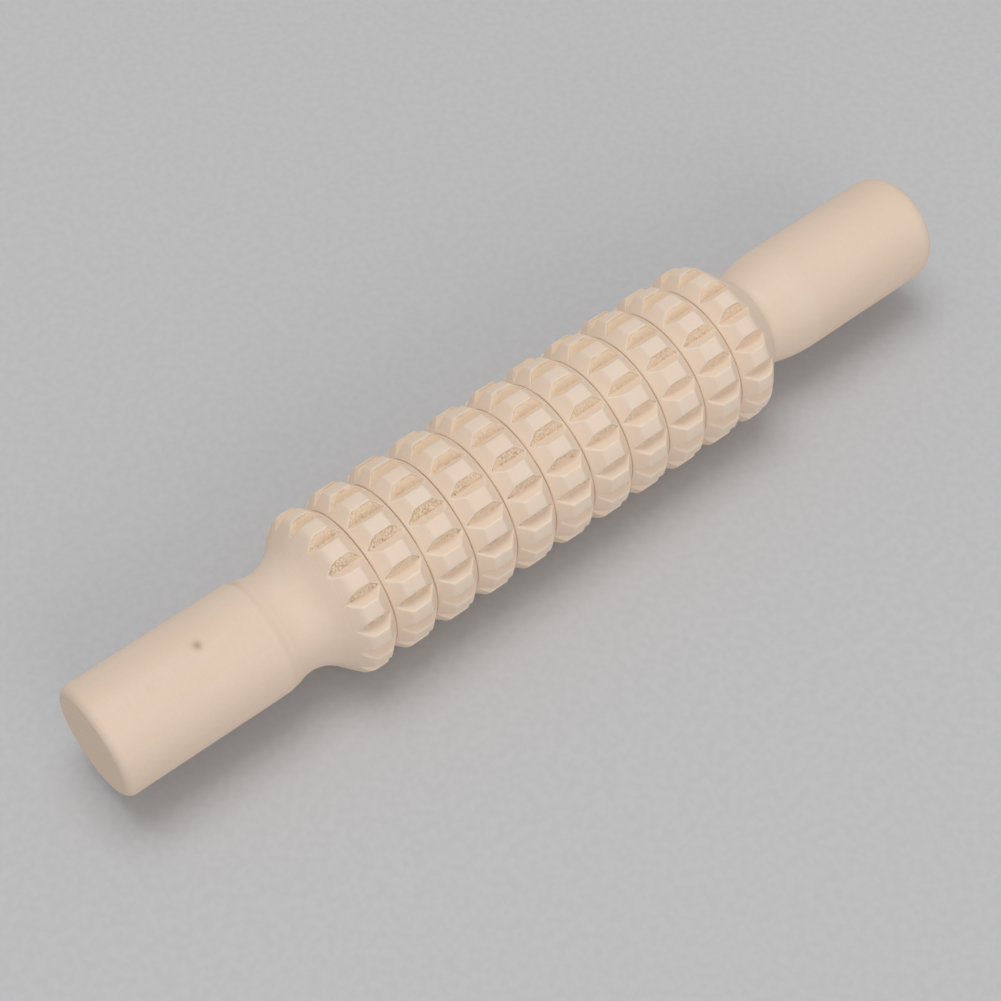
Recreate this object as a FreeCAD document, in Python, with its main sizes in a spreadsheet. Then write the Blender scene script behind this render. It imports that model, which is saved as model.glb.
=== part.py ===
"""Textured pattern roller: turned wood, drawn as its turned zones along one axis.

The row frame has its origin on the turning axis at mid-length, +X along the axis towards the
right handle and +Z up. Lengths are in millimetres and angles in degrees.
"""

import FreeCAD, Part
import math
import os

import Sketcher

V = FreeCAD.Vector
SHEET = "Dimensions"
RING_COUNT = 11

# Driving dimensions. Both end rings and their shoulders are alike; the two necks are not.
SIZES = {
    "roller_length": 200.0,
    "handle_radius": 11.5,
    "left_handle_length": 34.8,
    "left_end_round": 2.0,
    "left_neck_radius": 10.5,
    "left_cove_radius": 8.2,
    "right_handle_length": 33.4,
    "right_end_round": 4.0,
    "right_neck_radius": 10.0,
    "right_cove_radius": 2.7,
    "barrel_middle": -0.6,
    "ring_pitch": 9.5,
    "crown_radius": 16.85,
    "crown_width": 4.1,
    "groove_radius": 14.4,
    "end_ring_width": 9.0,
    "end_crown_reach": 5.0,
    "shoulder_round": 2.9,
    "shoulder_angle": 45.0,
    "notch_count": 16,
    "notch_floor_radius": 14.8,
    "notch_top_radius": 18.0,
    "notch_angle": 82.0,
}

# Ends of a sketch's lines and arcs, and the sketch's own origin and axes.
START, END, CENTRE = 1, 2, 3
ORIGIN = (-1, 1)
VERTICAL_AXIS = -2


def cell(name):
    """The expression that reads one dimension from the sheet."""
    return f"<<{SHEET}>>.{name}"


def make_sheet(doc):
    sheet = doc.addObject("Spreadsheet::Sheet", SHEET)
    for row, (name, value) in enumerate(SIZES.items(), start=1):
        sheet.set(f"A{row}", name)
        sheet.set(f"B{row}", str(value))
        sheet.setAlias(f"B{row}", name)
    doc.recompute()


def make_body(doc, label):
    body = doc.addObject("PartDesign::Body", label)
    body.Label = label
    return body


def make_sketch(body, name, plane):
    """A sketch on one of its own body's origin planes."""
    sketch = body.newObject("Sketcher::SketchObject", f"{body.Label}_{name}")
    support = next(f for f in body.Origin.OriginFeatures if f.Role == plane)
    sketch.AttachmentSupport = [(support, "")]
    sketch.MapMode = "FlatFace"
    return sketch


def add_line(sketch, start, end):
    return sketch.addGeometry(Part.LineSegment(V(*start, 0), V(*end, 0)), False)


def add_arc(sketch, centre, radius, first_angle, last_angle):
    """An arc that runs anticlockwise from its START to its END."""
    circle = Part.Circle(V(*centre, 0), V(0, 0, 1), radius)
    arc = Part.ArcOfCircle(circle, math.radians(first_angle), math.radians(last_angle))
    return sketch.addGeometry(arc, False)


def constrain(sketch, kind, *references):
    sketch.addConstraint(Sketcher.Constraint(kind, *references))


def join(sketch, *corners):
    """Make each pair of ends in corners meet."""
    for first, second in corners:
        constrain(sketch, "Coincident", *first, *second)


def size(sketch, name, expression, value, kind, *references):
    """A dimension with a starting value that then follows an expression."""
    index = sketch.addConstraint(Sketcher.Constraint(kind, *references, value))
    sketch.renameConstraint(index, name)
    sketch.setExpression(f"Constraints.{name}", expression)


def sheet_size(sketch, name, kind, *references):
    """A dimension that is one cell of the sheet."""
    size(sketch, name, cell(name), SIZES[name], kind, *references)


def turn(body, sketch):
    """Turn an outline about the sketch's horizontal axis, which is the roller's axis."""
    turned = body.newObject("PartDesign::Revolution", f"{body.Label}_turned")
    turned.Profile = sketch
    turned.ReferenceAxis = (sketch, ["H_Axis"])
    turned.Angle = 360.0


def place(body, x_expression, faces_left):
    """Put a body on the axis; one that faces left is turned half round about Z."""
    half_turn = FreeCAD.Rotation(V(0, 0, 1), 180.0 if faces_left else 0.0)
    body.Placement = FreeCAD.Placement(V(0, 0, 0), half_turn)
    body.setExpression("Placement.Base.x", x_expression)


def make_handle(doc, side):
    """A handle from its flat end face at local x = 0 to the place where its cylinder stops."""
    body = make_body(doc, f"{side}_handle")
    sketch = make_sketch(body, "outline", "XZ_Plane")
    radius = SIZES["handle_radius"]
    length = SIZES[f"{side}_handle_length"]
    rounding = SIZES[f"{side}_end_round"]
    face = add_line(sketch, (0, 0), (0, radius - rounding))
    edge = add_arc(sketch, (rounding, radius - rounding), rounding, 90, 180)
    grip = add_line(sketch, (rounding, radius), (length, radius))
    joint = add_line(sketch, (length, radius), (length, 0))
    axis = add_line(sketch, (length, 0), (0, 0))
    join(
        sketch,
        ((face, START), ORIGIN),
        ((grip, END), (joint, START)),
        ((joint, END), (axis, START)),
        ((axis, END), (face, START)),
    )
    constrain(sketch, "Tangent", face, END, edge, END)
    constrain(sketch, "Tangent", edge, START, grip, START)
    for line in (face, joint):
        constrain(sketch, "Vertical", line)
    for line in (grip, axis):
        constrain(sketch, "Horizontal", line)
    sheet_size(sketch, "handle_radius", "DistanceY", *ORIGIN, joint, START)
    sheet_size(sketch, f"{side}_handle_length", "DistanceX", *ORIGIN, axis, START)
    sheet_size(sketch, f"{side}_end_round", "Radius", edge)
    turn(body, sketch)
    end_x = f"-{cell('roller_length')} / 2" if side == "left" else f"{cell('roller_length')} / 2"
    place(body, end_x, faces_left=side == "right")


def meeting_radius():
    """Radius of the shoulder's cone at the plane where an end ring meets its neck."""
    angle = math.radians(SIZES["shoulder_angle"])
    rounding = SIZES["shoulder_round"]
    cone_length = SIZES["end_ring_width"] - SIZES["end_crown_reach"] - rounding * math.sin(angle)
    value = SIZES["crown_radius"] - rounding * (1 - math.cos(angle)) - cone_length * math.tan(angle)
    slope = cell("shoulder_angle")
    round_cell = cell("shoulder_round")
    expression = (
        f"{cell('crown_radius')} - {round_cell} * (1 - cos({slope}))"
        f" - ({cell('end_ring_width')} - {cell('end_crown_reach')}"
        f" - {round_cell} * sin({slope})) * tan({slope})"
    )
    return value, expression


def neck_length(side):
    """Distance from the handle's cylinder to the end ring."""
    to_middle = 1 if side == "left" else -1
    end_groove = (RING_COUNT - 2) / 2
    value = SIZES["roller_length"] / 2 - SIZES[f"{side}_handle_length"]
    value += to_middle * SIZES["barrel_middle"] - end_groove * SIZES["ring_pitch"]
    value -= SIZES["end_ring_width"]
    expression = (
        f"{cell('roller_length')} / 2 - {cell(f'{side}_handle_length')}"
        f" + {to_middle} * {cell('barrel_middle')} - {end_groove} * {cell('ring_pitch')}"
        f" - {cell('end_ring_width')}"
    )
    return value, expression


def make_neck(doc, side):
    """A waisted neck from the handle at local x = 0, through the cove and up the shoulder.

    The handle's soft edge has no size of its own: it is the one arc that leaves the handle's
    cylinder level and meets the cove smoothly.
    """
    body = make_body(doc, f"{side}_neck")
    sketch = make_sketch(body, "outline", "XZ_Plane")
    radius = SIZES["handle_radius"]
    waist = SIZES[f"{side}_neck_radius"]
    cove = SIZES[f"{side}_cove_radius"]
    slope = math.radians(SIZES["shoulder_angle"])
    length, length_expression = neck_length(side)
    top, top_expression = meeting_radius()
    cone_foot_radius = waist + cove * (1 - math.cos(slope))
    cone_foot_x = length - (top - cone_foot_radius) / math.tan(slope)
    waist_x = cone_foot_x - cove * math.sin(slope)
    drop = radius - waist
    soft_edge = (waist_x**2 + drop**2) / (2 * drop) - cove
    edge_sweep = math.degrees(math.asin(waist_x / (soft_edge + cove)))

    start = add_line(sketch, (0, 0), (0, radius))
    edge = add_arc(sketch, (0, radius - soft_edge), soft_edge, 90 - edge_sweep, 90)
    hollow = add_arc(
        sketch, (waist_x, waist + cove), cove, 270 - edge_sweep, 270 + SIZES["shoulder_angle"]
    )
    cone = add_line(sketch, (cone_foot_x, cone_foot_radius), (length, top))
    joint = add_line(sketch, (length, top), (length, 0))
    axis = add_line(sketch, (length, 0), (0, 0))
    join(
        sketch,
        ((start, START), ORIGIN),
        ((start, END), (edge, END)),
        ((cone, END), (joint, START)),
        ((joint, END), (axis, START)),
        ((axis, END), (start, START)),
    )
    constrain(sketch, "PointOnObject", edge, CENTRE, VERTICAL_AXIS)
    constrain(sketch, "Tangent", edge, START, hollow, START)
    constrain(sketch, "Tangent", hollow, END, cone, START)
    for line in (start, joint):
        constrain(sketch, "Vertical", line)
    constrain(sketch, "Horizontal", axis)
    sheet_size(sketch, "handle_radius", "DistanceY", *ORIGIN, start, END)
    sheet_size(sketch, f"{side}_cove_radius", "Radius", hollow)
    size(
        sketch,
        "cove_centre_height",
        f"{cell(f'{side}_neck_radius')} + {cell(f'{side}_cove_radius')}",
        waist + cove,
        "DistanceY",
        *ORIGIN,
        hollow,
        CENTRE,
    )
    size(sketch, "shoulder_angle", cell("shoulder_angle"), slope, "Angle", cone)
    size(sketch, "meeting_radius", top_expression, top, "DistanceY", *ORIGIN, cone, END)
    size(sketch, "neck_length", length_expression, length, "DistanceX", *ORIGIN, axis, START)
    turn(body, sketch)
    half = f"{cell('roller_length')} / 2 - {cell(f'{side}_handle_length')}"
    place(body, f"-({half})" if side == "left" else half, faces_left=side == "right")


def draw_notch(body):
    """The V of one notch, in the plane across the axis, with its point towards the axis."""
    sketch = make_sketch(body, "notch", "YZ_Plane")
    floor = SIZES["notch_floor_radius"]
    top = SIZES["notch_top_radius"]
    angle = math.radians(SIZES["notch_angle"])
    half_width = (top - floor) * math.tan(angle / 2)
    left_wall = add_line(sketch, (0, floor), (-half_width, top))
    right_wall = add_line(sketch, (0, floor), (half_width, top))
    lid = add_line(sketch, (-half_width, top), (half_width, top))
    join(
        sketch,
        ((left_wall, START), (right_wall, START)),
        ((left_wall, END), (lid, START)),
        ((right_wall, END), (lid, END)),
    )
    constrain(sketch, "PointOnObject", left_wall, START, VERTICAL_AXIS)
    constrain(sketch, "Symmetric", lid, START, lid, END, VERTICAL_AXIS)
    sheet_size(sketch, "notch_floor_radius", "DistanceY", *ORIGIN, left_wall, START)
    sheet_size(sketch, "notch_top_radius", "DistanceY", *ORIGIN, lid, START)
    size(
        sketch,
        "notch_angle",
        cell("notch_angle"),
        angle,
        "Angle",
        right_wall,
        START,
        left_wall,
        START,
    )
    return sketch


def cut_notches(body):
    """Cut one notch straight along the ring and repeat it round the axis."""
    notch = body.newObject("PartDesign::Pocket", f"{body.Label}_notch")
    notch.Profile = draw_notch(body)
    notch.Type = "ThroughAll"
    notch.Midplane = True
    ring_of_notches = body.newObject("PartDesign::PolarPattern", f"{body.Label}_notches")
    ring_of_notches.Originals = [notch]
    x_axis = next(f for f in body.Origin.OriginFeatures if f.Role == "X_Axis")
    ring_of_notches.Axis = (x_axis, [""])
    ring_of_notches.Angle = 360.0
    ring_of_notches.setExpression("Occurrences", cell("notch_count"))
    body.Tip = ring_of_notches


def make_end_ring(doc, side, label):
    """The first or last ring, from its groove at local x = 0 outwards and down the shoulder."""
    body = make_body(doc, label)
    sketch = make_sketch(body, "outline", "XZ_Plane")
    crown = SIZES["crown_radius"]
    groove = SIZES["groove_radius"]
    flank = (SIZES["ring_pitch"] - SIZES["crown_width"]) / 2
    crown_end = SIZES["end_crown_reach"]
    rounding = SIZES["shoulder_round"]
    width = SIZES["end_ring_width"]
    slope = math.radians(SIZES["shoulder_angle"])
    meeting, _ = meeting_radius()
    cone_top = (
        crown_end + rounding * math.sin(slope),
        crown - rounding * (1 - math.cos(slope)),
    )
    groove_face = add_line(sketch, (0, 0), (0, groove))
    flank_line = add_line(sketch, (0, groove), (flank, crown))
    crown_line = add_line(sketch, (flank, crown), (crown_end, crown))
    shoulder = add_arc(
        sketch, (crown_end, crown - rounding), rounding, 90 - SIZES["shoulder_angle"], 90
    )
    cone = add_line(sketch, (width, meeting), cone_top)
    joint = add_line(sketch, (width, meeting), (width, 0))
    axis = add_line(sketch, (width, 0), (0, 0))
    join(
        sketch,
        ((groove_face, START), ORIGIN),
        ((groove_face, END), (flank_line, START)),
        ((flank_line, END), (crown_line, START)),
        ((cone, START), (joint, START)),
        ((joint, END), (axis, START)),
        ((axis, END), (groove_face, START)),
    )
    constrain(sketch, "Tangent", crown_line, END, shoulder, END)
    constrain(sketch, "Tangent", shoulder, START, cone, END)
    for line in (groove_face, joint):
        constrain(sketch, "Vertical", line)
    for line in (crown_line, axis):
        constrain(sketch, "Horizontal", line)
    sheet_size(sketch, "groove_radius", "DistanceY", *ORIGIN, groove_face, END)
    sheet_size(sketch, "crown_radius", "DistanceY", *ORIGIN, crown_line, START)
    size(
        sketch,
        "flank_width",
        f"({cell('ring_pitch')} - {cell('crown_width')}) / 2",
        flank,
        "DistanceX",
        *ORIGIN,
        flank_line,
        END,
    )
    sheet_size(sketch, "end_crown_reach", "DistanceX", *ORIGIN, crown_line, END)
    sheet_size(sketch, "shoulder_round", "Radius", shoulder)
    rising = f"180 - {cell('shoulder_angle')}"
    size(sketch, "shoulder_angle", rising, math.pi - slope, "Angle", cone)
    sheet_size(sketch, "end_ring_width", "DistanceX", *ORIGIN, axis, START)
    turn(body, sketch)
    cut_notches(body)
    end_groove = (RING_COUNT - 2) / 2
    sign = "-" if side == "left" else "+"
    groove_x = f"{cell('barrel_middle')} {sign} {end_groove} * {cell('ring_pitch')}"
    place(body, groove_x, faces_left=side == "left")


def make_middle_ring(doc, number, label):
    """A ring between two grooves: a level crown with a straight flank on each side."""
    body = make_body(doc, label)
    sketch = make_sketch(body, "outline", "XZ_Plane")
    half_pitch = SIZES["ring_pitch"] / 2
    half_crown = SIZES["crown_width"] / 2
    crown = SIZES["crown_radius"]
    groove = SIZES["groove_radius"]
    left_face = add_line(sketch, (-half_pitch, 0), (-half_pitch, groove))
    left_flank = add_line(sketch, (-half_pitch, groove), (-half_crown, crown))
    crown_line = add_line(sketch, (-half_crown, crown), (half_crown, crown))
    right_flank = add_line(sketch, (half_crown, crown), (half_pitch, groove))
    right_face = add_line(sketch, (half_pitch, groove), (half_pitch, 0))
    axis = add_line(sketch, (half_pitch, 0), (-half_pitch, 0))
    loop = (left_face, left_flank, crown_line, right_flank, right_face, axis)
    join(sketch, *(((a, END), (b, START)) for a, b in zip(loop, loop[1:] + loop[:1])))
    constrain(sketch, "Horizontal", axis)
    constrain(sketch, "Symmetric", axis, START, axis, END, *ORIGIN)
    constrain(sketch, "Symmetric", left_flank, START, right_flank, END, VERTICAL_AXIS)
    constrain(sketch, "Symmetric", crown_line, START, crown_line, END, VERTICAL_AXIS)
    constrain(sketch, "Vertical", left_face)
    sheet_size(sketch, "ring_pitch", "DistanceX", axis, END, axis, START)
    sheet_size(sketch, "groove_radius", "DistanceY", *ORIGIN, left_face, END)
    sheet_size(sketch, "crown_radius", "DistanceY", *ORIGIN, crown_line, START)
    sheet_size(sketch, "crown_width", "DistanceX", crown_line, START, crown_line, END)
    turn(body, sketch)
    cut_notches(body)
    steps = number - (RING_COUNT + 1) / 2
    place(body, f"{cell('barrel_middle')} + {steps} * {cell('ring_pitch')}", faces_left=False)


def make_rings(doc):
    for number in range(1, RING_COUNT + 1):
        label = f"ring_{number:02d}"
        if number == 1:
            make_end_ring(doc, "left", label)
        elif number == RING_COUNT:
            make_end_ring(doc, "right", label)
        else:
            make_middle_ring(doc, number, label)


def check_document(doc):
    """Stop if any object failed to compute, or a turned piece has no sound solid."""
    for item in doc.Objects:
        if {"Invalid", "Error"} & set(item.State):
            raise RuntimeError(f"{item.Label} did not compute: {item.State}")
    for body in bodies_of(doc):
        shape = body.Shape
        if shape.isNull() or not shape.isValid() or len(shape.Solids) != 1:
            raise RuntimeError(f"{body.Label} is not one sound solid")


def bodies_of(doc):
    return [item for item in doc.Objects if item.TypeId == "PartDesign::Body"]


def export(doc):
    os.makedirs("parts", exist_ok=True)
    for body in bodies_of(doc):
        body.Shape.exportStep(os.path.join("parts", f"{body.Label}.step"))


def main():
    doc = FreeCAD.newDocument("TexturedPatternRoller")
    make_sheet(doc)
    make_handle(doc, "left")
    make_neck(doc, "left")
    make_rings(doc)
    make_neck(doc, "right")
    make_handle(doc, "right")
    doc.recompute()
    check_document(doc)
    export(doc)


main()
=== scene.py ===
"""Textured pattern roller: one turned stick of raw pale wood with eleven notched rings.

Lengths in the mesh code are millimetres in the row frame: +X runs along the axis towards the right
handle and +Z is up. Angles round the axis start at the top and turn towards -Y, and notch rows are
counted the same way, from 0 at the top.
"""

import itertools
import math

import bpy
import numpy as np
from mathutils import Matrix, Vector


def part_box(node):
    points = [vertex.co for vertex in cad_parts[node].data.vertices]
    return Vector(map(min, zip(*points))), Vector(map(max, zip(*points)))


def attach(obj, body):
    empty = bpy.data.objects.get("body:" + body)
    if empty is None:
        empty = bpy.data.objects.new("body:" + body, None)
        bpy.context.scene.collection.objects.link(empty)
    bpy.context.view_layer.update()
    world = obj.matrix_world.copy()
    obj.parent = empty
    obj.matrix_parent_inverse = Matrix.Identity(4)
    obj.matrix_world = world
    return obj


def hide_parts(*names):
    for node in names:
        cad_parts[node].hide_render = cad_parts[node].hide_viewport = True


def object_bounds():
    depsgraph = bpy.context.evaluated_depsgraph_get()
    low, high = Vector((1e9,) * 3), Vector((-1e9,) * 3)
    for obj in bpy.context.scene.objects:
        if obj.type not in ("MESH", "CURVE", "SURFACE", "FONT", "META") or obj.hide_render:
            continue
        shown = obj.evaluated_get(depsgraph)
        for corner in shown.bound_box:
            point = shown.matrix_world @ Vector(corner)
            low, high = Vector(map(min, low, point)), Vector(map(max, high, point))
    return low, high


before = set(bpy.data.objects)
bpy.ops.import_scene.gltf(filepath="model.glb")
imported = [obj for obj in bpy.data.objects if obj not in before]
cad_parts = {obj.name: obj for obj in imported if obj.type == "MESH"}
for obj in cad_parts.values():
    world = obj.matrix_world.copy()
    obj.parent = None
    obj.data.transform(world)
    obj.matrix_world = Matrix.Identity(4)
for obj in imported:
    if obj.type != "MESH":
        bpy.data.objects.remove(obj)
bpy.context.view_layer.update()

MM = 0.001
FULL_TURN = 2.0 * math.pi

# The turned outline, as in the CAD model.
HANDLE_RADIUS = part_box("left_handle")[1].z / MM
END_ROUND = {"left": 2.0, "right": 4.0}
NECK_RADIUS = {"left": 10.5, "right": 10.0}
COVE_RADIUS = {"left": 8.2, "right": 2.7}
CROWN_RADIUS = 16.85
CROWN_WIDTH = 4.1
GROOVE_RADIUS = 14.4
END_CROWN_REACH = 5.0
SHOULDER_ROUND = 2.9
SHOULDER_ANGLE = math.radians(45.0)
RING_COUNT = 11

# The notches, as in the CAD model.
NOTCH_COUNT = 16
NOTCH_STEP = FULL_TURN / NOTCH_COUNT
NOTCH_FLOOR_RADIUS = 14.8
NOTCH_ANGLE = math.radians(82.0)
NOTCH_SLOPE = 1.0 / math.tan(NOTCH_ANGLE / 2)

# How far one notch differs from the next.
FLOOR_SPREAD = 0.10
SWAY_SPREAD = math.radians(0.25)
RING_SEED = 100

# The line cut along the bottom of each groove, and how far its shade spreads.
KERF_DEPTH = 0.30
KERF_HALF_WIDTH = 0.13
KERF_SHADE_WIDTH = 0.26

# Worn edges: how much of a crown's, a notch's and a notch floor's edge is rounded away.
CROWN_WEAR = 0.10
EDGE_WEAR = 0.14
FLOOR_WEAR = 0.008

# Torn grain: its depth, how ragged each row of notches is (counted round from the top row), how
# that fades from the first ring to the last, and how far the wood sinks and stands up.
TORN_DEPTH = 0.50
# The heavier torn amounts on rows 3 to 5 also darken those lower rows as painted shade.
TORN_ROWS = {0: 0.40, 1: 1.0, 2: 0.85, 3: 0.80, 4: 0.75, 5: 0.60, 8: 0.5, 9: 0.9}
TORN_ELSEWHERE = 0.18
TORN_CHANCE = (0.55, 1.25)
TORN_FIRST_RING = 1.25
TORN_LAST_RING = 0.50
TORN_MOST = 1.3
TORN_SINK = 0.15
TORN_RAISE = 0.60
TORN_SPECK_SHARE = 0.8

# Where each kind of tint starts and stops on a ring.
NOTCH_FADE = 0.30
WALL_BLEND = math.radians(0.5)
EDGE_LIGHT_WIDTH = 0.14
UPPER_LINE_DEPTH = 0.20
CROWN_FADE_START = 0.5
CROWN_FADE = 0.3

# How strong a tint's trait is: planed away from the crowns, fresh on a ring's turned faces, fresh
# wood and painted light on a notch's lower wall, and how much of the edge light the upper wall
# loses.
PLANED_ELSEWHERE = 0.4
FRESH_TURNED = 0.55
FRESH_AND_PAINTED_LIGHT_LOWER_WALL = 0.9
UPPER_EDGE_LOSS = 0.6

# Marks on the left handle and neck: a knot, and a crease whose dark tint is painted shade.
CREASE_DEPTH = 0.16
CREASE_PLACE = 1.6
CREASE_HALF_WIDTH = 0.65
KNOT_X = -77.0
KNOT_ANGLE = math.radians(6.5)
KNOT_LENGTH = 0.75
KNOT_WIDTH = 0.95
KNOT_DEPTH = 0.16

# Random unevenness: the size of its cells along x, y and z, and its seed.
UNEVENNESS = {
    "turned_broad": ((9.0, 7.0, 7.0), 11),
    "turned_fine": ((2.5, 1.6, 1.6), 12),
    "notch_wall": ((1.6, 0.7, 0.7), 21),
    "torn_fibres": ((0.30, 0.50, 0.50), 31),
    "torn_specks": ((0.22, 0.26, 0.26), 32),
    "torn_patches": ((1.8, 1.0, 1.0), 33),
    "edge_light": ((1.5, 1.5, 1.5), 34),
    "kerf_shade": ((40.0, 5.0, 5.0), 35),
    "upper_line": ((1.2, 1.5, 1.5), 36),
    "crease": ((30.0, 6.0, 6.0), 41),
}
# Where a mark comes and goes: the middle of its share, and how far the unevenness swings it.
PATCHES = {
    "torn_patches": (0.75, 0.7),
    "edge_light": (0.7, 0.9),
    "kerf_shade": (0.65, 0.8),
    "upper_line": (0.6, 0.9),
    "crease": (0.75, 0.6),
}

BROAD_HEIGHT = 0.035
FINE_HEIGHT = 0.012
WALL_HEIGHT = 0.03
LATTICE = 48

# How finely the meshes are divided.
PLAIN_COLUMNS = 224
NECK_ROWS = 72
GRIP_ROWS = 90
FACE_ROWS = 22
EDGE_ROWS = 14
RING_ROWS = 64
CUT_COLUMNS = 9
TORN_COLUMNS = 25
CROWN_COLUMNS = 9
NOTCH_CROWDING = 1.2
CROWN_CROWDING = 1.25
KERF_STATIONS = (0.3, 0.6, 1.0, 1.8)
FACE_FAN_RADIUS = 0.4
FACE_TOLERANCE = 0.01
LEAST_OPENING = math.radians(0.5)
LEAST_SLANT = 0.1


# ---------------------------------------------------------------- shared maths


def noise(points, kind):
    """Smooth random values from -1 to 1 at points, for one kind of unevenness."""
    cell, seed = UNEVENNESS[kind]
    table = np.random.default_rng(seed).uniform(-1.0, 1.0, (LATTICE,) * 3)
    scaled = points / np.array(cell)
    corner = np.floor(scaled).astype(int)
    part = scaled - corner
    part = part * part * (3.0 - 2.0 * part)
    total = np.zeros(points.shape[:-1])
    for step in itertools.product((0, 1), repeat=3):
        weight = np.prod(np.where(np.array(step) == 1, part, 1.0 - part), axis=-1)
        index = (corner + step) % LATTICE
        total += weight * table[index[..., 0], index[..., 1], index[..., 2]]
    return total


def smooth_step(value):
    value = np.clip(value, 0.0, 1.0)
    return value * value * (3.0 - 2.0 * value)


def smooth_min(first, second, rounding):
    """The lower of two surfaces, with the edge between them worn round."""
    near = np.clip(1.0 - np.abs(first - second) / rounding, 0.0, 1.0)
    return np.minimum(first, second) - near * near * rounding / 4.0


def patchy(points, kind):
    """A share from 0 to 1 that comes and goes over the wood."""
    middle, swing = PATCHES[kind]
    return smooth_step(middle + swing * noise(points, kind))


def wrapped(angle):
    """The same angle, from minus half a turn to half a turn."""
    return (angle + math.pi) % FULL_TURN - math.pi


def at(x, radius, angle):
    """Points from their place along, out from and round the axis."""
    return np.stack([x, -radius * np.sin(angle), radius * np.cos(angle)], axis=-1)


def span(node):
    """The stretch of the axis that a CAD node takes up, in millimetres."""
    low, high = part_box(node)
    return low.x / MM, high.x / MM


def ring_name(number):
    return f"ring_{number:02d}"


def grooves():
    """Places of the grooves between rings, from left to right."""
    return [span(ring_name(number))[1] for number in range(1, RING_COUNT)]


# ---------------------------------------------------------------- outlines


def shoulder_radius(reach):
    """Radius of an end ring's crown, rounded shoulder and cone, at a distance from its groove."""
    arc_width = SHOULDER_ROUND * math.sin(SHOULDER_ANGLE)
    along_arc = np.clip(reach - END_CROWN_REACH, 0.0, arc_width)
    arc = CROWN_RADIUS - SHOULDER_ROUND + np.sqrt(SHOULDER_ROUND**2 - along_arc**2)
    on_cone = np.clip(reach - END_CROWN_REACH - arc_width, 0.0, None)
    return arc - on_cone * math.tan(SHOULDER_ANGLE)


def flank_radius(distance):
    """Radius of a ring's straight flank at a distance from its groove."""
    first, second = grooves()[:2]
    flank_width = (second - first - CROWN_WIDTH) / 2
    return GROOVE_RADIUS + distance * (CROWN_RADIUS - GROOVE_RADIUS) / flank_width


def ring_outline(x, number):
    """The ring's turned radius at x, before its notches are cut."""
    low, high = span(ring_name(number))
    if number == 1:
        return smooth_min(shoulder_radius(high - x), flank_radius(high - x), CROWN_WEAR)
    if number == RING_COUNT:
        return smooth_min(shoulder_radius(x - low), flank_radius(x - low), CROWN_WEAR)
    flanks = np.minimum(flank_radius(x - low), flank_radius(high - x))
    return smooth_min(np.full_like(x, CROWN_RADIUS), flanks, CROWN_WEAR)


def neck_outline(distance, side, length):
    """The neck's radius at a distance from its handle: soft edge, cove, then cone."""
    ring_low, ring_high = span(ring_name(1))
    top_radius = float(shoulder_radius(ring_high - ring_low))
    waist = NECK_RADIUS[side]
    cove = COVE_RADIUS[side]
    cove_width = cove * math.sin(SHOULDER_ANGLE)
    foot_radius = waist + cove * (1.0 - math.cos(SHOULDER_ANGLE))
    foot = length - (top_radius - foot_radius) / math.tan(SHOULDER_ANGLE)
    waist_place = foot - cove_width
    drop = HANDLE_RADIUS - waist
    soft_edge = (waist_place**2 + drop**2) / (2.0 * drop) - cove
    edge_end = soft_edge * waist_place / (soft_edge + cove)
    on_edge = np.clip(distance, 0.0, edge_end)
    edge = HANDLE_RADIUS - soft_edge + np.sqrt(soft_edge**2 - on_edge**2)
    in_cove = np.clip(distance - waist_place, edge_end - waist_place, cove_width)
    hollow = waist + cove - np.sqrt(cove**2 - in_cove**2)
    cone = foot_radius + (distance - foot) * math.tan(SHOULDER_ANGLE)
    return np.where(distance < edge_end, edge, np.where(distance < foot, hollow, cone))


def handle_outline(side, length):
    """Distances from the end face and radii along a handle, from the face's middle."""
    rounding = END_ROUND[side]
    face_radius = HANDLE_RADIUS - rounding
    face = [(0.0, radius) for radius in np.linspace(FACE_FAN_RADIUS, face_radius, FACE_ROWS)]
    turn = np.linspace(0.0, math.pi / 2, EDGE_ROWS)[1:]
    edge = [(rounding * (1.0 - math.cos(a)), face_radius + rounding * math.sin(a)) for a in turn]
    grip = [(distance, HANDLE_RADIUS) for distance in np.linspace(rounding, length, GRIP_ROWS)[1:]]
    return np.array(face + edge + grip).T


# ---------------------------------------------------------------- meshes


def closed_mesh(name, points, traits):
    """A closed mesh through rows of points round the axis, with a fan over its first and last row.

    points has the shape (rows, columns, 3) and runs towards +X; traits are numbers per point that
    the wood material reads.
    """
    rows, columns, _ = points.shape
    corner = np.arange(rows * columns).reshape(rows, columns)
    beside = np.roll(corner, -1, axis=1)
    sides = np.stack([corner[:-1], corner[1:], beside[1:], beside[:-1]], axis=-1).reshape(-1, 4)
    first_centre = rows * columns
    last_centre = first_centre + 1
    faces = sides.tolist()
    for a, b in zip(corner[0].tolist(), beside[0].tolist()):
        faces.append((first_centre, a, b))
    for a, b in zip(corner[-1].tolist(), beside[-1].tolist()):
        faces.append((last_centre, b, a))
    centres = points[[0, -1]].mean(axis=1)
    every = np.concatenate([points.reshape(-1, 3), centres]) * MM
    mesh = bpy.data.meshes.new(name)
    mesh.from_pydata(every.tolist(), [], faces)
    mesh.polygons.foreach_set("use_smooth", [True] * len(faces))
    for trait, values in traits.items():
        layer = mesh.attributes.new(trait, "FLOAT", "POINT")
        ends = values[[0, -1]].mean(axis=1)
        layer.data.foreach_set("value", np.concatenate([values.ravel(), ends]).astype(np.float32))
    return mesh


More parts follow.
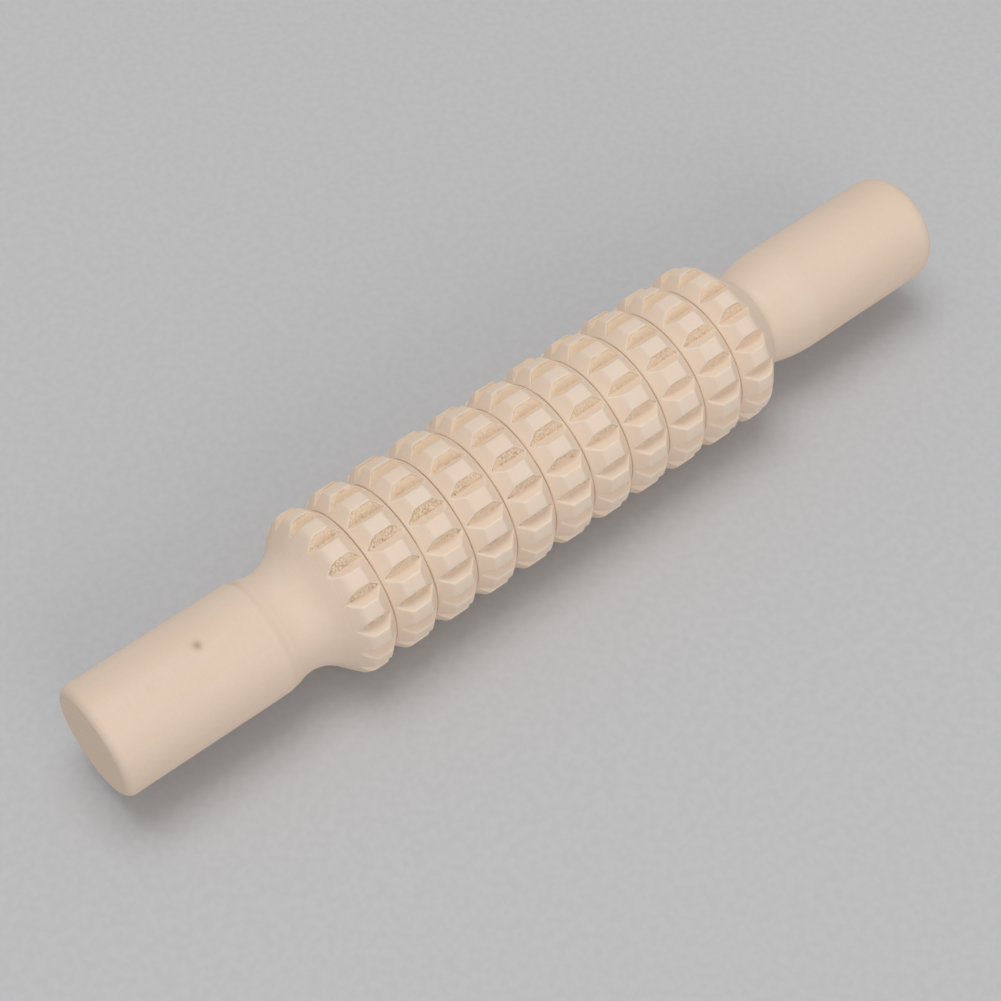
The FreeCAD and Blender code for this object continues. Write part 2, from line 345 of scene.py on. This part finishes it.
def keep_crisp(mesh, columns, rows):
    """Keep the edges along the given rows sharp, so that a hidden end doesn't shade the wood."""
    ends = np.empty(len(mesh.edges) * 2, dtype=np.int64)
    mesh.edges.foreach_get("vertices", ends)
    pairs = ends.reshape(-1, 2)
    sharp = np.zeros(len(mesh.edges), dtype=bool)
    for row in rows:
        inside = (pairs >= row * columns) & (pairs < (row + 1) * columns)
        sharp |= inside.all(axis=1)
    layer = mesh.attributes.new("sharp_edge", "BOOLEAN", "EDGE")
    layer.data.foreach_set("value", sharp)


def add_piece(node, points, traits, hidden_ends, material):
    """The wood that stands for one CAD node; hidden_ends are the ends that meet another piece."""
    rows, columns, _ = points.shape
    end_rows = {"left": 0, "right": rows - 1}
    mesh = closed_mesh(f"{node}_wood", points, traits)
    keep_crisp(mesh, columns, [end_rows[end] for end in hidden_ends])
    mesh.materials.append(material)
    piece = bpy.data.objects.new(f"{node}_wood", mesh)
    bpy.context.scene.collection.objects.link(piece)
    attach(piece, "root")
    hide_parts(node)


def round_grid(x_line, radius_line):
    """Places along, out from and round the axis, for a piece without notches."""
    angle = np.linspace(0.0, FULL_TURN, PLAIN_COLUMNS, endpoint=False)
    x, angle = np.meshgrid(x_line, angle, indexing="ij")
    return x, np.repeat(radius_line[:, None], PLAIN_COLUMNS, axis=1), angle


def hand_turned(x, angle):
    """The small unevenness of wood that was turned and sanded."""
    place = at(x, np.full_like(x, HANDLE_RADIUS), angle)
    return BROAD_HEIGHT * noise(place, "turned_broad") + FINE_HEIGHT * noise(place, "turned_fine")


def make_handle(side, material):
    node = f"{side}_handle"
    low, high = span(node)
    distance, radius_line = handle_outline(side, high - low)
    x_line = low + distance
    end_x = low
    if side == "right":
        x_line = (high - distance)[::-1]
        radius_line = radius_line[::-1]
        end_x = high
    x, radius, angle = round_grid(x_line, radius_line)
    rim = np.clip(radius / HANDLE_RADIUS, 0.0, 1.0) ** 2
    radius = radius + rim * hand_turned(x, angle)
    along = (x - KNOT_X) / KNOT_LENGTH
    across = wrapped(angle - KNOT_ANGLE) * HANDLE_RADIUS / KNOT_WIDTH
    knot = np.exp(-(along**2) - across**2) * (side == "left")
    radius = radius - KNOT_DEPTH * knot
    # End faces: their trait paints them paler as painted light and carries their growth rings.
    end_face = (np.abs(x - end_x) < FACE_TOLERANCE).astype(float)
    traits = {"knot": knot, "end_grain": end_face}
    hidden_end = "right" if side == "left" else "left"
    add_piece(node, at(x, radius, angle), traits, [hidden_end], material)


def make_neck(side, material):
    node = f"{side}_neck"
    low, high = span(node)
    x_line = np.linspace(low, high, NECK_ROWS)
    distance = x_line - low if side == "left" else high - x_line
    x, radius, angle = round_grid(x_line, neck_outline(distance, side, high - low))
    radius = radius + hand_turned(x, angle)
    # The crease on the left neck: a shallow dent whose trait darkens it with painted shade.
    line = np.exp(-(((distance - CREASE_PLACE) / CREASE_HALF_WIDTH) ** 2)) * (side == "left")
    crease = line[:, None] * patchy(at(x, radius, angle), "crease")
    radius = radius - CREASE_DEPTH * crease
    traits = {"crease": crease, "planed": np.full_like(crease, PLANED_ELSEWHERE)}
    add_piece(node, at(x, radius, angle), traits, ["left", "right"], material)


# ---------------------------------------------------------------- rings


def spread(count, power):
    """Places from 0 to 1 that crowd towards both ends."""
    even = np.linspace(0.0, 1.0, count)
    first_half = 0.5 * (2.0 * even) ** power
    last_half = 1.0 - 0.5 * (2.0 - 2.0 * even) ** power
    return np.where(even < 0.5, first_half, last_half)


def ring_stations(number):
    """Places along the axis for a ring's rows of points, close together beside its grooves."""
    low, high = span(ring_name(number))
    stations = [np.linspace(low, high, RING_ROWS)]
    beside_groove = KERF_HALF_WIDTH * np.array(KERF_STATIONS)
    if number > 1:
        stations.append(low + beside_groove)
    if number < RING_COUNT:
        stations.append(high - beside_groove)
    return np.unique(np.concatenate(stations))


def ring_columns(outline, floor_radius, sway):
    """The angle of each point: columns follow both edges and the floor of every notch."""
    lean = math.atan(NOTCH_SLOPE)
    height = math.hypot(1.0, NOTCH_SLOPE)
    halves = []
    for row in range(NOTCH_COUNT):
        opening = np.arccos(np.clip(floor_radius[row] / (outline * height), -1.0, 1.0)) - lean
        halves.append(np.maximum(opening, LEAST_OPENING))
    angle = []
    for row in range(NOTCH_COUNT):
        centre = row * NOTCH_STEP + sway[row]
        upper = spread(TORN_COLUMNS if row in TORN_ROWS else CUT_COLUMNS, NOTCH_CROWDING)
        lower = spread(CUT_COLUMNS, NOTCH_CROWDING)
        for share in np.concatenate([-upper[::-1], lower[1:]]):
            angle.append(centre + share * halves[row])
        after = (row + 1) % NOTCH_COUNT
        start = centre + halves[row]
        stop = (row + 1) * NOTCH_STEP + sway[after] - halves[after]
        for share in spread(CROWN_COLUMNS, CROWN_CROWDING)[1:-1]:
            angle.append(start + share * (stop - start))
    return np.stack(angle, axis=1)


def notch_wall(off, floor_radius):
    """Radius of a notch's straight walls at an angle from its middle."""
    slant = np.sqrt(np.sin(off) ** 2 + FLOOR_WEAR**2)
    return floor_radius / np.maximum(np.cos(off) - slant * NOTCH_SLOPE, LEAST_SLANT)


def torn_rows(number, chance):
    """How ragged the grain is in each of a ring's notches: most at the roller's left."""
    rows = np.array([TORN_ROWS.get(row, TORN_ELSEWHERE) for row in range(NOTCH_COUNT)])
    rows = rows * chance.uniform(*TORN_CHANCE, NOTCH_COUNT)
    along = (number - 1) / (RING_COUNT - 1)
    fade = TORN_FIRST_RING + (TORN_LAST_RING - TORN_FIRST_RING) * along
    return np.clip(rows * fade, 0.0, TORN_MOST)


def torn_relief(place):
    """The height of fibres that stand up from torn grain, and the sink round them."""
    ragged = noise(place, "torn_fibres") + TORN_SPECK_SHARE * noise(place, "torn_specks")
    return TORN_SINK + TORN_RAISE * ragged


def groove_distance(x):
    """Distance from x to the nearest groove."""
    return np.min([np.abs(x - groove) for groove in grooves()], axis=0)


def edge_light(place, gap, upper_wall):
    """Pale worn fibres and a painted highlight along a notch's edges, less on its upper wall."""
    line = np.clip(1.0 - np.abs(gap) / EDGE_LIGHT_WIDTH, 0.0, 1.0)
    return line * patchy(place, "edge_light") * (1.0 - UPPER_EDGE_LOSS * upper_wall)


def upper_lip(place, depth, upper_wall):
    """The dark broken line just inside a notch's upper edge."""
    line = np.clip(1.0 - np.abs(depth - UPPER_LINE_DEPTH) / UPPER_LINE_DEPTH, 0.0, 1.0)
    return line * upper_wall * patchy(place, "upper_line")


def planed_share(x, radius, ring_middle, in_notch, on_cone):
    """Paler planed wood: all of a crown, and part of its right flank and of a shoulder."""
    crown = smooth_step((radius - CROWN_RADIUS + CROWN_FADE_START) / CROWN_FADE)
    right_flank = smooth_step((x - ring_middle) / CROWN_WIDTH)
    elsewhere = np.maximum(right_flank * (1.0 - in_notch), on_cone)
    return np.maximum(crown, PLANED_ELSEWHERE * elsewhere)


def fresh_and_painted_light_share(in_notch, upper_wall, on_cone):
    """Paler wood: fresh cut wood with painted light on a notch's lower wall, where it is most, and
    some fresh wood on the turned ring.
    """
    lower_wall = FRESH_AND_PAINTED_LIGHT_LOWER_WALL * in_notch * (1.0 - upper_wall)
    ring = (FRESH_TURNED * (1.0 - in_notch) + lower_wall) * (1.0 - on_cone)
    return np.maximum(ring, lower_wall)


def make_ring(number, material):
    node = ring_name(number)
    low, high = span(node)
    chance = np.random.default_rng(RING_SEED + number)
    floor_radius = NOTCH_FLOOR_RADIUS + chance.uniform(-FLOOR_SPREAD, FLOOR_SPREAD, NOTCH_COUNT)
    sway = chance.uniform(-SWAY_SPREAD, SWAY_SPREAD, NOTCH_COUNT)
    x_line = ring_stations(number)
    outline = ring_outline(x_line, number)
    angle = ring_columns(outline, floor_radius, sway)
    x = np.repeat(x_line[:, None], angle.shape[1], axis=1)
    turned = outline[:, None] + hand_turned(x, angle)
    place = at(x, turned, angle)

    row = np.round(angle / NOTCH_STEP).astype(int) % NOTCH_COUNT
    off = wrapped(angle - row * NOTCH_STEP - sway[row])
    wall = notch_wall(off, floor_radius[row]) + WALL_HEIGHT * noise(place, "notch_wall")
    depth = np.clip(turned - wall, 0.0, None)
    in_notch = smooth_step(depth / NOTCH_FADE)
    upper_wall = smooth_step(0.5 - off / WALL_BLEND)
    torn = torn_rows(number, chance)[row] * in_notch * upper_wall
    torn = torn * patchy(place, "torn_patches")

    gap = groove_distance(x)
    kerf = 1.0 - smooth_step(gap / KERF_HALF_WIDTH)
    radius = smooth_min(turned, wall, EDGE_WEAR)
    radius = radius - TORN_DEPTH * torn * torn_relief(place) - KERF_DEPTH * kerf

    kerf_shade = 1.0 - smooth_step(gap / KERF_SHADE_WIDTH)
    on_cone = smooth_step((gap - END_CROWN_REACH) / SHOULDER_ROUND)
    traits = {
        "planed": planed_share(x, radius, (low + high) / 2, in_notch, on_cone),
        # Fresh wood on the turned ring, and painted light on each notch's lower wall.
        "fresh_and_painted_light": fresh_and_painted_light_share(in_notch, upper_wall, on_cone),
        # Painted shade: a golden darkening on each notch's upper wall.
        "notch": in_notch * upper_wall,
        "torn": torn,
        "upper_line": upper_lip(place, depth, upper_wall),
        # Pale worn fibres and a painted highlight along the notch edges.
        "worn_edge_and_highlight": edge_light(place, turned - wall, upper_wall),
        "kerf": kerf_shade * patchy(place, "kerf_shade"),
    }
    add_piece(node, at(x, radius, angle), traits, ["left", "right"], material)


# ---------------------------------------------------------------- materials


CREAM = (0.755, 0.605, 0.492, 1.0)
TAN = (0.695, 0.540, 0.410, 1.0)
PINK = (0.750, 0.565, 0.470, 1.0)
HONEY = (0.740, 0.550, 0.375, 1.0)
TORN_SHADE = (0.500, 0.320, 0.175, 1.0)
# Pale fibres, also a painted highlight on torn grain and along notch edges.
FIBRE_AND_HIGHLIGHT = (0.880, 0.770, 0.640, 1.0)
PLANED = (0.780, 0.655, 0.550, 1.0)
# Fresh pale wood, also used as painted light on the notches' lower walls and on the end faces.
FRESH_AND_PAINTED_LIGHT = (0.835, 0.675, 0.525, 1.0)
# Painted shade on the notches' upper walls.
GOLDEN_NOTCH_SHADE = (0.850, 0.640, 0.415, 1.0)
# Growth rings on the end faces, and painted shade in the neck's crease.
OCHRE = (0.590, 0.465, 0.320, 1.0)
BURNT = (0.300, 0.185, 0.110, 1.0)
FLOOR_DARK = (0.515, 0.515, 0.525, 1.0)
FLOOR_LIGHT = (0.535, 0.535, 0.545, 1.0)

# The pith lies outside the stick, so its sides show faint long bands.
PITH_Y = 4.0
PITH_Z = -27.0
YEARS_PER_MM = 0.42
YEAR_WANDER = 3.0

LATE_WOOD_RISE = (0.25, 0.95)
LATE_WOOD_STOP = (1.0, 0.95)

# Patterns in the wood: cells per millimetre along x, y and z, detail, roughness of the noise.
PATTERNS = {
    "year_wander": ((0.02, 0.09, 0.09), 2.0, 0.5),
    "blotch": ((0.035, 0.11, 0.11), 3.0, 0.5),
    "rosy": ((0.06, 0.12, 0.10), 2.0, 0.5),
    "streak": ((0.12, 2.6, 2.6), 4.0, 0.6),
    "pore": ((1.3, 3.4, 3.4), 3.0, 0.7),
    "turning": ((5.5, 0.22, 0.22), 3.0, 0.6),
    "planed": ((0.30, 0.22, 0.22), 2.0, 0.5),
    "speck": ((3.6, 1.9, 1.9), 3.0, 0.7),
    "grain": ((0.5, 7.0, 7.0), 4.0, 0.65),
    "fuzz": ((3.5, 6.0, 6.0), 4.0, 0.7),
    "floor": ((0.6, 0.6, 0.6), 4.0, 0.5),
}

# The noise values at which a pattern starts and is full.
LIMITS = {
    "blotch": (0.40, 0.66),
    "rosy": (0.52, 0.72),
    "streak": (0.35, 0.70),
    "pore": (0.44, 0.66),
    "turning": (0.35, 0.68),
    "planed": (0.30, 0.70),
    "speck": (0.40, 0.62),
    "floor": (0.35, 0.65),
}
PLANED_SHARES = (0.12, 0.42)

# How much of each tint is mixed in where its pattern or trait is full.
TINTS = {
    "blotch": 0.35,
    "rosy": 0.20,
    "late": 0.14,
    "streak": 0.12,
    "pore": 0.26,
    "turning": 0.20,
    "fresh_and_painted_light": 0.60,
    "notch": 0.42,
    "crease": 0.60,
    "torn_specks": 0.80,
    "torn_fibres": 0.60,
    "upper_line": 0.55,
    "worn_edge_and_highlight": 0.66,
    "kerf": 0.34,
    "end_grain": 0.55,
    "end_rings": 0.24,
    "knot": 0.62,
}

STREAK_ROUGHNESS = 0.10
TORN_ROUGHNESS = 0.2
GRAIN_RELIEF = 0.35
TURNING_RELIEF = 0.25
BUMP_STRENGTH = 0.35
BUMP_HEIGHT = 0.12
WOOD_ROUGHNESS = 0.66
WOOD_SPECULAR = 0.35
FLOOR_ROUGHNESS = 0.85


class Nodes:
    """A material's node tree, with short calls for what the wood needs."""

    def __init__(self, name):
        self.material = bpy.data.materials.new(name)
        self.material.use_nodes = True
        self.tree = self.material.node_tree
        self.shader = self.tree.nodes["Principled BSDF"]

    def add(self, kind, **settings):
        node = self.tree.nodes.new(kind)
        for key, value in settings.items():
            setattr(node, key, value)
        return node

    def set(self, socket, value):
        """Give a socket a number, a colour or another socket's output."""
        if isinstance(value, bpy.types.NodeSocket):
            self.tree.links.new(value, socket)
        else:
            socket.default_value = value

    def maths(self, operation, first, second=0.0, clamp=False):
        node = self.add("ShaderNodeMath", operation=operation, use_clamp=clamp)
        self.set(node.inputs[0], first)
        self.set(node.inputs[1], second)
        return node.outputs[0]

    def product(self, first, *others):
        for other in others:
            first = self.maths("MULTIPLY", first, other)
        return first

    def ramp(self, value, low, high, to_low=0.0, to_high=1.0):
        node = self.add("ShaderNodeMapRange", interpolation_type="SMOOTHSTEP")
        for socket, number in zip(node.inputs, (value, low, high, to_low, to_high)):
            self.set(socket, number)
        return node.outputs[0]

    def tint(self, colour, other, *shares):
        """Mix another colour in, by the product of the shares, kept from 0 to 1."""
        node = self.add("ShaderNodeMix", data_type="RGBA", clamp_factor=True)
        self.set(node.inputs["Factor"], self.product(*shares))
        self.set(node.inputs[6], colour)
        self.set(node.inputs[7], other)
        return node.outputs[2]

    def trait(self, name):
        return self.add("ShaderNodeAttribute", attribute_name=name).outputs["Fac"]

    def stretched(self, scale):
        """Object coordinates in millimetres, stretched by scale along each axis."""
        place = self.add("ShaderNodeTexCoord").outputs["Object"]
        node = self.add("ShaderNodeMapping")
        self.set(node.inputs["Vector"], place)
        node.inputs["Scale"].default_value = [value / MM for value in scale]
        return node.outputs["Vector"]

    def noise(self, kind):
        """The plain noise of one kind of pattern."""
        scale, detail, roughness = PATTERNS[kind]
        node = self.add("ShaderNodeTexNoise")
        self.set(node.inputs["Vector"], self.stretched(scale))
        node.inputs["Scale"].default_value = 1.0
        node.inputs["Detail"].default_value = detail
        node.inputs["Roughness"].default_value = roughness
        return node.outputs["Fac"]

    def pattern(self, kind, to_low=0.0, to_high=1.0):
        """One kind of pattern, between its limits."""
        return self.ramp(self.noise(kind), *LIMITS[kind], to_low, to_high)


def late_wood(nodes):
    """The darker part of each year's growth: it builds up slowly and stops at once."""
    split = nodes.add("ShaderNodeSeparateXYZ")
    nodes.set(split.inputs[0], nodes.stretched((1.0, 1.0, 1.0)))
    across = nodes.maths("ADD", split.outputs["Y"], -PITH_Y)
    upward = nodes.maths("ADD", split.outputs["Z"], -PITH_Z)
    squared = nodes.maths("ADD", nodes.product(across, across), nodes.product(upward, upward))
    from_pith = nodes.maths("SQRT", squared)
    wander = nodes.product(nodes.noise("year_wander"), YEAR_WANDER)
    years = nodes.product(nodes.maths("ADD", from_pith, wander), YEARS_PER_MM)
    year = nodes.maths("FRACT", years)
    return nodes.product(nodes.ramp(year, *LATE_WOOD_RISE), nodes.ramp(year, *LATE_WOOD_STOP))


def turned_wood(nodes, late, streak, turning):
    """The colour of plain turned wood, with its blotches, bands, streaks and pores."""
    colour = nodes.tint(CREAM, TAN, nodes.pattern("blotch"), TINTS["blotch"])
    colour = nodes.tint(colour, PINK, nodes.pattern("rosy"), TINTS["rosy"])
    colour = nodes.tint(colour, HONEY, late, TINTS["late"])
    colour = nodes.tint(colour, TAN, streak, TINTS["streak"])
    colour = nodes.tint(colour, TAN, nodes.pattern("pore"), TINTS["pore"])
    return nodes.tint(colour, TAN, turning, TINTS["turning"])


def marked(nodes, colour, other, trait):
    """Tint the wood where a trait of its mesh says so."""
    return nodes.tint(colour, other, nodes.trait(trait), TINTS[trait])


def torn_wood(nodes, colour, torn):
    """Where the grain is torn: dark specks, partly painted shade, and pale fibres between them,
    partly painted highlight.
    """
    speck = nodes.pattern("speck")
    between_specks = nodes.maths("SUBTRACT", 1.0, speck)
    # Specks are partly painted shade; the fibres between them are partly painted highlight.
    colour = nodes.tint(colour, TORN_SHADE, torn, speck, TINTS["torn_specks"])
    return nodes.tint(colour, FIBRE_AND_HIGHLIGHT, torn, between_specks, TINTS["torn_fibres"])


def cut_wood(nodes, colour, torn):
    """Tints on the cut wood: planed crowns, painted shade on the notches' upper walls and in the
    neck's crease, fresh wood with painted light on the lower walls, torn grain, edges partly
    painted highlight, and kerfs.
    """
    # Fresh wood, and painted light on the notches' lower walls.
    colour = marked(nodes, colour, FRESH_AND_PAINTED_LIGHT, "fresh_and_painted_light")
    planed = nodes.pattern("planed", *PLANED_SHARES)
    colour = nodes.tint(colour, PLANED, nodes.trait("planed"), planed)
    # Painted shade on each notch's upper wall.
    colour = marked(nodes, colour, GOLDEN_NOTCH_SHADE, "notch")
    # Painted shade in the left neck's crease.
    colour = marked(nodes, colour, OCHRE, "crease")
    colour = torn_wood(nodes, colour, torn)
    colour = marked(nodes, colour, TORN_SHADE, "upper_line")
    # Pale worn fibres and painted highlight along notch edges.
    colour = marked(nodes, colour, FIBRE_AND_HIGHLIGHT, "worn_edge_and_highlight")
    return marked(nodes, colour, BURNT, "kerf")


def end_and_knot(nodes, colour, late):
    """Tints for the end faces, with painted light that makes them paler and their growth rings,
    and for the knot.
    """
    # Painted light: the end faces made paler.
    colour = marked(nodes, colour, FRESH_AND_PAINTED_LIGHT, "end_grain")
    colour = nodes.tint(colour, OCHRE, late, nodes.trait("end_grain"), TINTS["end_rings"])
    return marked(nodes, colour, BURNT, "knot")


def wood_roughness(nodes, streak, torn):
    rough = nodes.maths("ADD", nodes.product(streak, STREAK_ROUGHNESS), WOOD_ROUGHNESS)
    return nodes.maths("ADD", rough, nodes.product(torn, TORN_ROUGHNESS), clamp=True)


def wood_bump(nodes, torn, turning):
    """Fine relief: long grain, turning marks, and fuzz where the grain is torn."""
    grain = nodes.product(nodes.noise("grain"), GRAIN_RELIEF)
    fuzz = nodes.product(nodes.noise("fuzz"), torn)
    height = nodes.maths("ADD", grain, fuzz)
    height = nodes.maths("ADD", height, nodes.product(turning, TURNING_RELIEF))
    bump = nodes.add("ShaderNodeBump")
    bump.inputs["Strength"].default_value = BUMP_STRENGTH
    bump.inputs["Distance"].default_value = BUMP_HEIGHT * MM
    nodes.set(bump.inputs["Height"], height)
    return bump.outputs["Normal"]


def wood_material():
    nodes = Nodes("raw_pale_wood")
    torn = nodes.trait("torn")
    late = late_wood(nodes)
    streak = nodes.pattern("streak")
    turning = nodes.pattern("turning")
    colour = turned_wood(nodes, late, streak, turning)
    colour = cut_wood(nodes, colour, torn)
    colour = end_and_knot(nodes, colour, late)
    nodes.set(nodes.shader.inputs["Base Color"], colour)
    nodes.set(nodes.shader.inputs["Roughness"], wood_roughness(nodes, streak, torn))
    nodes.set(nodes.shader.inputs["Normal"], wood_bump(nodes, torn, turning))
    nodes.shader.inputs["Specular IOR Level"].default_value = WOOD_SPECULAR
    return nodes.material


def floor_material():
    nodes = Nodes("pale_floor")
    colour = nodes.tint(FLOOR_DARK, FLOOR_LIGHT, nodes.pattern("floor"))
    nodes.set(nodes.shader.inputs["Base Color"], colour)
    nodes.shader.inputs["Roughness"].default_value = FLOOR_ROUGHNESS
    return nodes.material


# ---------------------------------------------------------------- stage, in metres


CAMERA_AZIMUTH = math.radians(-39.25)
CAMERA_ELEVATION = math.radians(53.13)
CAMERA_DISTANCE = 0.4368
CAMERA_AIM = Vector((-0.0103, -0.0038, 0.0))
LENS = 82.7
SENSOR = 36.0
CLIP_START = 0.01
FLOOR_SIZE = 12.0
WORLD_STRENGTH = 0.50
WARM_WHITE = (1.0, 0.995, 0.985)
WHITE = (1.0, 1.0, 1.0)


def make_camera():
    data = bpy.data.cameras.new("camera")
    data.lens = LENS
    data.sensor_width = SENSOR
    data.clip_start = CLIP_START
    camera = bpy.data.objects.new("camera", data)
    level = math.cos(CAMERA_ELEVATION)
    side = math.sin(CAMERA_AZIMUTH) * level
    front = -math.cos(CAMERA_AZIMUTH) * level
    back = Vector((side, front, math.sin(CAMERA_ELEVATION)))
    camera.location = CAMERA_AIM + back * CAMERA_DISTANCE
    camera.rotation_euler = (-back).to_track_quat("-Z", "Y").to_euler()
    bpy.context.scene.collection.objects.link(camera)
    bpy.context.scene.camera = camera


def add_softbox(name, place, size, watts, tint):
    """A large square light that faces the roller."""
    data = bpy.data.lights.new(name, "AREA")
    data.shape = "SQUARE"
    data.size = size
    data.energy = watts
    data.color = tint
    light = bpy.data.objects.new(name, data)
    light.location = place
    light.rotation_euler = (-Vector(place)).to_track_quat("-Z", "Y").to_euler()
    bpy.context.scene.collection.objects.link(light)


def make_lights():
    add_softbox("top_light", (-0.05, 0.15, 1.30), 0.75, 6.9, WARM_WHITE)
    add_softbox("front_light", (-0.28, -1.32, 0.50), 1.1, 6.6, WHITE)
    world = bpy.data.worlds.new("room")
    bpy.context.scene.world = world
    world.use_nodes = True
    background = world.node_tree.nodes["Background"]
    background.inputs["Color"].default_value = (*WHITE, 1.0)
    background.inputs["Strength"].default_value = WORLD_STRENGTH
    bpy.context.scene.view_settings.view_transform = "Standard"


def make_floor():
    """A plain floor at the height of the wood's lowest point."""
    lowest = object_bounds()[0].z
    half = FLOOR_SIZE / 2
    signs = ((-1, -1), (1, -1), (1, 1), (-1, 1))
    corners = [(across * half, along * half, lowest) for across, along in signs]
    mesh = bpy.data.meshes.new("floor")
    mesh.from_pydata(corners, [], [(0, 1, 2, 3)])
    mesh.materials.append(floor_material())
    floor = bpy.data.objects.new("floor", mesh)
    bpy.context.scene.collection.objects.link(floor)


make_camera()
wood = wood_material()
for handle_side in ("left", "right"):
    make_handle(handle_side, wood)
    make_neck(handle_side, wood)
for ring_number in range(1, RING_COUNT + 1):
    make_ring(ring_number, wood)
make_lights()
make_floor()

bpy.context.view_layer.update()
